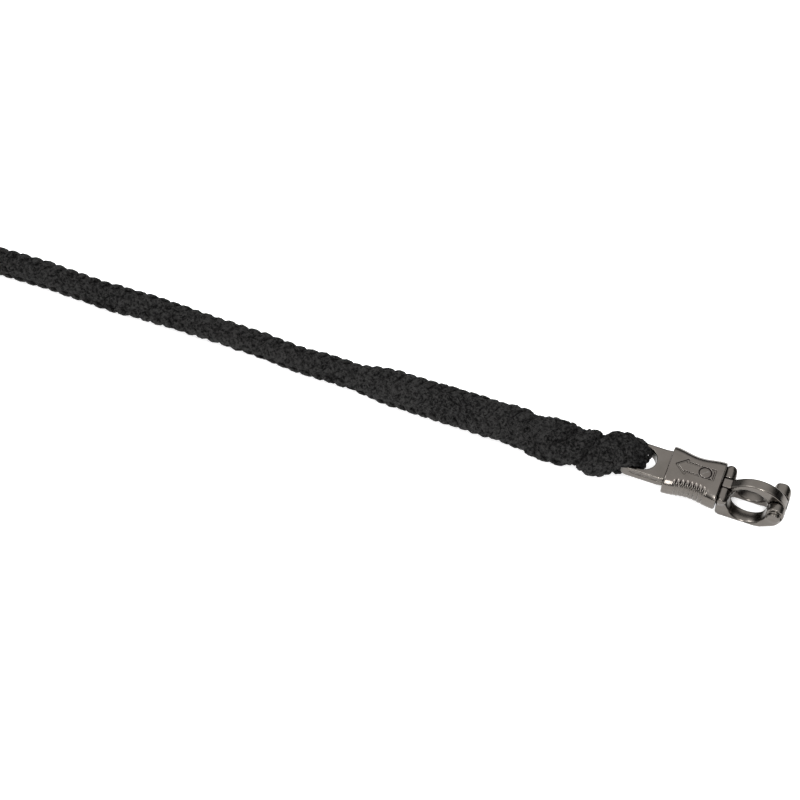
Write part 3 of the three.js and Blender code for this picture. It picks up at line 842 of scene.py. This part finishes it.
def sleeve_ribs(f):
    """How far the sleeve's skin is moved outwards by eight ribs on each side."""
    count, start, end, height, base = 8, 4.8, 26.6, 0.75, 0.25
    phase = np.clip((f.x - start) / (end - start), 0, 1)
    rib = 0.5 - 0.5 * np.cos(2 * math.pi * count * phase)
    # The near ribs reach up to the edge, and the far ones stay below it.
    highest = np.where(f.y < 0, 7.6, 3.0)
    flank = np.clip((np.abs(f.y) - 7.5) / 2, 0, 1) * np.clip((highest - f.z) / 0.9, 0, 1)
    flank = flank * np.clip((f.z + 6.5) / 4, 0, 1) * np.clip(4 * np.sin(math.pi * phase), 0, 1)
    return (base - height * rib) * flank


def sleeve_arrow(f):
    """The engraved outline of an arrow that points at the rope, broken round the pin's head."""
    tip, neck, back, shaft, barb, half_line = 3.85, 10.0, 27.5, 3.5, 5.3, 0.52
    arrow = [(tip, 0), (neck, barb), (neck, shaft), (back, shaft),
             (back, -shaft), (neck, -shaft), (neck, -barb)]
    line = np.abs(outline_distance(arrow, f.x[:, :, 0], f.y[:, :, 0]))[:, :, None] - half_line
    clear_of_pin = SLEEVE_PIN_HEAD + 1.1 - np.hypot(f.x - SLEEVE_PIN_X, f.y)
    return np.maximum(line, clear_of_pin)


def release_sleeve():
    length, half_width, corner, low_corner = 32.0, 15.1, 7.0, 5.4
    lean, first, last, waist_depth = 0.3, -0.7, 32.9, 2.2
    hollow_shift, hollow_half_width, hollow_half_thick = 0.35, 11.95, 4.5
    head_depth, line_depth = 1.4, 0.8
    f = Field((-1.8, -16.6, -8.6), (34, 16.4, 8.6), 0.27)
    waist = waist_depth * np.sin(math.pi * np.clip(f.x / length, 0, 1)) ** 2
    # The upper edges are fully rounded and the lower ones less so.
    section = rounded_box_2d(f.y + lean, f.z, half_width + lean - waist, SLEEVE_TOP,
                             np.where(f.z > 0, corner, low_corner))
    section = section + sleeve_ribs(f)
    sleeve = rounded_both(section, np.maximum(first - f.x, f.x - last), 1.0)
    hollow = rounded_box_2d(f.y + hollow_shift, f.z, hollow_half_width, hollow_half_thick, 1.5)
    sleeve = cut(sleeve, hollow, 0.5)
    above = SLEEVE_TOP - f.z
    sleeve = cut(sleeve, f.upright(SLEEVE_PIN_X, 0, SLEEVE_PIN + PIN_PLAY), 0.3)
    head_seat = f.upright(SLEEVE_PIN_X, 0, SLEEVE_PIN_HEAD + PIN_PLAY)
    sleeve = cut(sleeve, np.maximum(head_seat, above - head_depth), 0.3)
    sleeve = cut(sleeve, np.maximum(sleeve_arrow(f), above - line_depth), 0.2)
    points, faces = f.mesh(sleeve)
    mesh_piece("sleeve_casting", points, faces, SLEEVE_CASTING, "sleeve",
               ("release_sleeve",))


def turned(name, profile, origin, axis, material, body, slot, node, sides=48):
    """A turned pin: profile gives radius and height along the axis, y or z, from origin."""
    a = 2 * math.pi * np.arange(sides) / sides
    rows = np.asarray(profile, float)
    r, h = rows[:, :1], np.repeat(rows[:, 1:], sides, 1)
    if axis == "z":
        local = np.stack([r * np.cos(a), r * np.sin(a), h], -1)
    else:
        local = np.stack([r * np.sin(a), h, r * np.cos(a)], -1)
    points = (local + np.asarray(origin) + SNAP).reshape(-1, 3)
    mesh_piece(name, points, ring_faces(len(rows), sides), material, body, (node,))


def make_pins():
    top, shank, head = SLEEVE_TOP, SLEEVE_PIN, SLEEVE_PIN_HEAD
    turned("sleeve_pin_turned",
           [(0.01, -top + 0.3), (shank - 0.4, -top + 0.3), (shank, -top + 0.6), (shank, top - 1.2),
            (head - 0.15, top - 1.2), (head, top - 1.0), (head, top - 0.35), (head - 0.2, top - 0.1),
            (3.0, top), (1.2, top + 0.1), (0.01, top + 0.12)],
           (SLEEVE_PIN_X, 0, 0), "z", PIN_STEEL, "sleeve", "pin_steel", "sleeve_pin")
    end, radius = HINGE_PIN_HALF_LENGTH, HINGE_PIN
    turned("hinge_pin_turned",
           [(0.01, -end), (radius - 0.3, -end), (radius, 0.3 - end),
            (radius, end - 0.3), (radius - 0.3, end), (0.01, end)],
           (HINGE_X, 0, HINGE_Z), "y", PIN_STEEL, "rope_and_body", "pin_steel", "hinge_pin")


def make_spring():
    """The coil between the plate's slot end and the sleeve's pin."""
    start, end, radius, wire, turns = 2.35, 19.05, 2.2, 0.45, 8
    rows_per_turn, sides = 28, 10
    t = np.linspace(0, 1, turns * rows_per_turn + 1)
    # Closed end turns: the pitch is small over the first and last turn.
    edge = 1.2 / turns
    rise = np.interp(t, [0, edge, 1 - edge, 1], [0, 0.055, 0.945, 1])
    a = 2 * math.pi * turns * t
    centre = np.stack([start + (end - start) * rise, radius * np.cos(a), radius * np.sin(a)], -1)
    outward = np.stack([np.zeros_like(a), np.cos(a), np.sin(a)], -1)
    across, out = hinted_frame(centre, outward)
    ring = 2 * math.pi * np.arange(sides)[:, None] / sides
    section = across[:, None] * np.cos(ring) + out[:, None] * np.sin(ring)
    points = (centre[:, None] + wire * section + SNAP).reshape(-1, 3)
    piece = mesh_piece("release_spring_coil", points, ring_faces(len(t), sides),
                       SPRING_STEEL, "rope_and_body", ("release_spring",))
    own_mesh(piece)


snap_body()
hinged_jaw()
release_sleeve()
make_pins()
make_spring()


# ---------------------------------------------------------------- studio
DOME, HORIZON, DOME_LEAN = 1.65, 0.02, 0.25
DARK_BELOW, BRIGHT_ABOVE = 0.33, 0.72
FLOOR_GLOW, FLOOR_REACH_M, FLOOR_DROP_M = 0.45, 6, 0.0004


def make_floor():
    mesh = bpy.data.meshes.new("floor")
    reach = FLOOR_REACH_M
    corners = [(-reach, -reach, 0), (reach, -reach, 0), (reach, reach, 0), (-reach, reach, 0)]
    mesh.from_pydata(corners, [], [(0, 1, 2, 3)])
    floor = bpy.data.objects.new("floor", mesh)
    floor.location.z = -FLOOR_DROP_M
    bpy.context.scene.collection.objects.link(floor)
    n = Nodes("floor")
    n.shade(
        Base_Color=(0.93, 0.93, 0.93, 1), Roughness=0.9, Specular_IOR_Level=0.1,
        Emission_Color=(1, 1, 1, 1), Emission_Strength=FLOOR_GLOW,
    )
    floor.data.materials.append(n.material)


def area_light(name, place, aim, size, power):
    data = bpy.data.lights.new(name, "AREA")
    data.shape, data.size, data.size_y, data.energy = "RECTANGLE", size[0], size[1], power
    light = bpy.data.objects.new(name, data)
    light.location = place
    light.rotation_euler = (Vector(aim) - Vector(place)).to_track_quat("-Z", "Y").to_euler()
    bpy.context.scene.collection.objects.link(light)


def make_light():
    """An overhead dome that darkens towards the horizon and leans to one side, and two soft boxes."""
    world = bpy.data.worlds.new("studio")
    world.use_nodes = True
    tree = world.node_tree
    place = tree.nodes.new("ShaderNodeTexCoord")
    parts = tree.nodes.new("ShaderNodeSeparateXYZ")
    ramp = tree.nodes.new("ShaderNodeValToRGB")
    tree.links.new(place.outputs["Generated"], parts.inputs["Vector"])
    lean = tree.nodes.new("ShaderNodeMath")
    lean.operation = "MULTIPLY_ADD"
    tree.links.new(parts.outputs["X"], lean.inputs[0])
    lean.inputs[1].default_value = -DOME_LEAN
    tree.links.new(parts.outputs["Z"], lean.inputs[2])
    tree.links.new(lean.outputs[0], ramp.inputs["Fac"])
    background = tree.nodes["Background"]
    tree.links.new(ramp.outputs["Color"], background.inputs["Color"])
    background.inputs["Strength"].default_value = DOME
    low, high = ramp.color_ramp.elements
    low.position, low.color = DARK_BELOW, (*grey(HORIZON), 1)
    high.position, high.color = BRIGHT_ABOVE, (1, 1, 1, 1)
    bpy.context.scene.world = world
    area_light("key", place=(-0.9, -0.3, 1.5), aim=(0, 0, 0), size=(0.9, 0.7), power=14)
    area_light("front", place=(0.2, -1.25, 0.82), aim=Vector(SNAP) * MM, size=(0.2, 0.8), power=14)
    scene = bpy.context.scene
    scene.view_settings.view_transform = "Standard"
    scene.view_settings.look = "None"


make_floor()
make_light()
